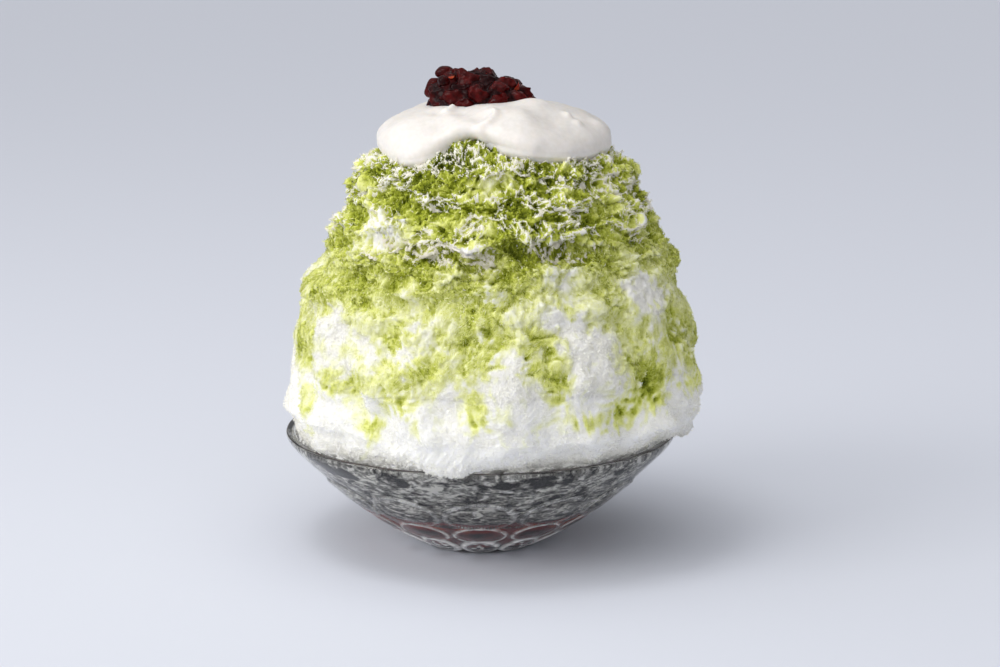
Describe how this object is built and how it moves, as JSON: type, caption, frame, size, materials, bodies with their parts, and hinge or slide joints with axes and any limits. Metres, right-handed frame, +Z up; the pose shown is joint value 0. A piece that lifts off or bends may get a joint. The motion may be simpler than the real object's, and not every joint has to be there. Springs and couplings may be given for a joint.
{
  "type": "kakigori",
  "caption": "Tall mound of shaved ice with green tea syrup in a pressed glass bowl over sweet bean paste, topped with whipped cream and sweet beans.",
  "frame": {"origin": "centre of the bowl's flat foot, on the surface that it stands on", "axes": "+Z up along the bowl's axis, -Y towards the front, +X to the right as seen from the front"},
  "size_m": [0.1775, 0.1791, 0.2026],
  "materials": {
    "pressed_glass": "clear pressed soda glass, fire polished",
    "azuki_paste": "moist sweet bean paste",
    "syruped_ice": "fluffy shaved ice, white below and stained green above, with frosty crests",
    "whipped_cream": "softly whipped cream, satin",
    "azuki_beans": "glossy candied beans in syrup"
  },
  "bodies": {
    "root": {"glass_bowl": "pressed_glass", "azuki_base": "azuki_paste", "shaved_ice": "syruped_ice", "cream_cap": "whipped_cream", "azuki_topping": "azuki_beans"}
  },
  "joints": []
}
